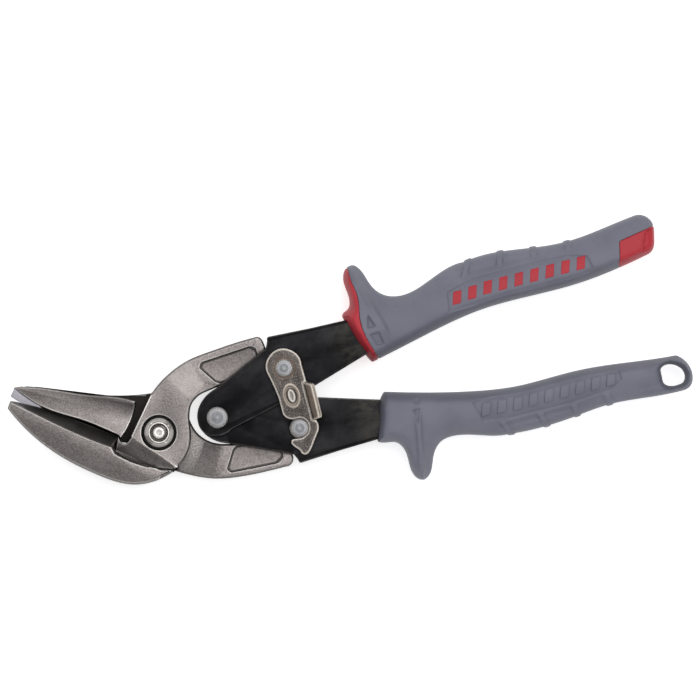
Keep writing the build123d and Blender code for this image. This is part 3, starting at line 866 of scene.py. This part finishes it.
lowerGrip = {
    "cell": 0.38,
    "round": 3.8,
    "roundNarrow": 2.7,
    "roundTall": 6.0,
    "half": [
        (72, 9.0), (80, 9.4), (92, 9.2), (108, 9.7), (126, 10.4),
        (146, 10.2), (162, 8.8), (174, 7.2), (186, 6.2),
    ],
    "bodyTop": 28.0,
    "crest": 0.40,
    "outerFall": 3.4,
    "innerFall": 2.0,
    "bead": (1.4, 1.3),
    "crease": ((86.6, 33.0), (89.4, 18.0)),
    "guardFrom": 12.0,
    "flange": 0.5,
    "hornDrop": 1.6,
    "frontEdge": [(6, 79.5), (12, 77.6), (22, 74.6), (30, 82.6), (38, 84.0)],
    "ribs": [
        {"x": 119.0, "lean": 0.40, "top": 31.4, "from": 26.0},
        {"x": 131.8, "lean": 0.30, "top": 31.8, "from": 26.6},
        {"x": 143.2, "lean": 0.20, "top": 31.4, "from": 26.6},
        {"x": 155.0, "lean": 0.12, "top": 30.4, "from": 26.0},
    ],
    "relief": [
        {"points": anticlockwise([(87.8, -14.7), (90.2, -14.7), (88.2, -20.2)]), "raise": -0.95},
        {
            "points": anticlockwise([(88.8, -10.4), (90.8, -11.0), (90.6, -12.9), (88.9, -12.6)]),
            "raise": -0.5,
        },
        {
            "points": anticlockwise([
                (108.5, -17.2), (110.5, -24.6), (120, -26.2), (142, -26.4), (156, -25.4), (161, -22.6),
                (160.4, -18.4), (135, -17.2),
            ]),
            "raise": -0.7,
        },
    ],
}

upperForm = GripForm(["upper_grip", "upper_grip_collar", "upper_grip_end_cap"], upperGrip)
lowerForm = GripForm(["lower_grip"], lowerGrip)
gripPieces = {
    "upper_grip": {
        "name": "upper_grip_shell", "form": upperForm, "finish": "grey", "body": "upper_handle",
        "slot": "grey_grip",
    },
    "upper_grip_collar": {
        "name": "upper_grip_red_collar", "form": upperForm, "finish": "red", "body": "upper_handle",
        "slot": "red_grip",
    },
    "upper_grip_end_cap": {
        "name": "upper_grip_red_cap", "form": upperForm, "finish": "red", "body": "upper_handle",
        "slot": "red_grip",
    },
    "lower_grip": {
        "name": "lower_grip_shell", "form": lowerForm, "finish": "grey", "body": "lower_handle",
        "slot": "grey_grip",
    },
}
for node, settings in gripPieces.items():
    gripPiece(node, settings)
print("grips moulded:", len(gripPieces))


upperBars = {
    "name": "upper_grip_bars", "finish": "red", "body": "upper_handle", "slot": "red_grip",
    "from": 111.8, "pitch": 5.6, "count": 9, "y": 20.2, "dip": 0.8,
    "wide": 3.0, "tall": 4.4, "lean": 1.4, "proud": 0.12, "sunk": 0.5, "edge": 0.12,
}
lowerBars = {
    "name": "lower_grip_bars", "finish": "grey", "body": "lower_handle", "slot": "grey_grip",
    "from": 111.8, "pitch": 5.6, "count": 9, "y": -21.6, "dip": -0.8,
    "wide": 3.0, "tall": 4.4, "lean": 1.4, "proud": 0.5, "sunk": 0.5, "edge": 0.12,
}


def gripBars(form, settings):  # plain slanted blocks that stand a little proud of both faces
    bm = bmesh.new()
    for side in (1, -1):
        for count in range(settings["count"]):
            x = settings["from"] + settings["pitch"] * count
            y = settings["y"] - settings["dip"] * max(0, 2 - count) / 2
            old = set(bm.verts)
            bmesh.ops.create_grid(bm, x_segments=6, y_segments=6, size=0.5)
            fresh = [v for v in bm.verts if v not in old]
            bmesh.ops.scale(bm, vec=(settings["wide"], settings["tall"], 1), verts=fresh)
            for vert in fresh:  # the lean, then the place on the grip
                vert.co.x += settings["lean"] * (vert.co.y / settings["tall"] + 0.5)
            bmesh.ops.translate(bm, vec=(x, y, 0), verts=fresh)
            flat = [f for f in bm.faces if f.verts[0] not in old]
            raised = vertsIn(bmesh.ops.extrude_face_region(bm, geom=flat))
            for vert in fresh + raised:
                lift = settings["proud"] if vert in raised else -settings["sunk"]
                vert.co = form.surface(vert.co.x, vert.co.y, side) + Vector((0, 0, side * lift * mm))
    bmesh.ops.recalc_face_normals(bm, faces=bm.faces[:])
    made = newObject(settings["name"], meshFrom(bm, settings["name"], [settings["finish"]]))
    rounding = made.modifiers.new("rounding", "BEVEL")
    rounding.width = settings["edge"] * mm
    rounding.segments = 2
    rounding.limit_method = "ANGLE"
    rounding.angle_limit = radians(40)
    settle(made)
    made.data.shade_smooth()
    made.data.set_sharp_from_angle(angle=radians(35))
    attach(made, settings["body"])
    return made


redBars = gripBars(upperForm, upperBars)
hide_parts("upper_grip_badge")
gripBars(lowerForm, lowerBars)
print("badge bars set")


floorSet = {"size": 6.0, "colour": (0.93, 0.93, 0.93), "cloud": (0.95, 0.95, 0.95), "glow": 0.68}


def paleFloor():
    bm = bmesh.new()
    bmesh.ops.create_grid(bm, x_segments=1, y_segments=1, size=floorSet["size"] / 2)
    made = newObject("floor", meshFrom(bm, "floor"))
    f = Finish("pale floor")
    cloud = f.noise(400, 2)
    pale = f.mix(cloud, floorSet["colour"], floorSet["cloud"])
    glow = floorSet["glow"]
    finish = f.finishWith(Base_Color=pale, Roughness=0.9, Emission_Color=pale, Emission_Strength=glow)
    made.data.materials.append(finish)


lampSet = {  # places are metres from the middle of the view
    "overhead": {"place": (0.30, 0.22, 1.5), "size": (1.25, 1.05), "power": 12},
    "left": {"place": (-1.5, 0.3, 0.7), "size": (0.5, 1.0), "power": 1.5},
}


def softBox(name, settings, target):
    light = bpy.data.lights.new(name, "AREA")
    light.shape = "RECTANGLE"
    light.size, light.size_y = settings["size"]
    light.energy = settings["power"]
    made = bpy.data.objects.new(name, light)
    bpy.context.scene.collection.objects.link(made)
    made.location = target + Vector(settings["place"])
    made.rotation_euler = (target - made.location).to_track_quat("-Z", "Y").to_euler()


cameraSet = {"x": 71.8, "y": 11.1, "away": 1.9, "roll": -14.6, "frame": 0.245, "sensor": 36.0}


def setCamera():
    camera = bpy.data.cameras.new("camera")
    camera.sensor_width = cameraSet["sensor"]
    camera.lens = cameraSet["sensor"] * cameraSet["away"] / cameraSet["frame"]
    camera.clip_end = 20
    made = bpy.data.objects.new("camera", camera)
    bpy.context.scene.collection.objects.link(made)
    made.location = place(cameraSet["x"], cameraSet["y"]) + Vector((0, 0, cameraSet["away"]))
    made.rotation_euler = (0, 0, radians(cameraSet["roll"]))
    bpy.context.scene.camera = made


paleFloor()
for name, settings in lampSet.items():
    softBox(name, settings, place(cameraSet["x"], cameraSet["y"]))
world = bpy.data.worlds.new("studio")
bpy.context.scene.world = world
world.use_nodes = True
backdrop = world.node_tree.nodes["Background"]
backdrop.inputs["Color"].default_value = (1, 1, 1, 1)
backdrop.inputs["Strength"].default_value = 0.26
bpy.context.scene.view_settings.view_transform = "Standard"
setCamera()
print("studio lit")
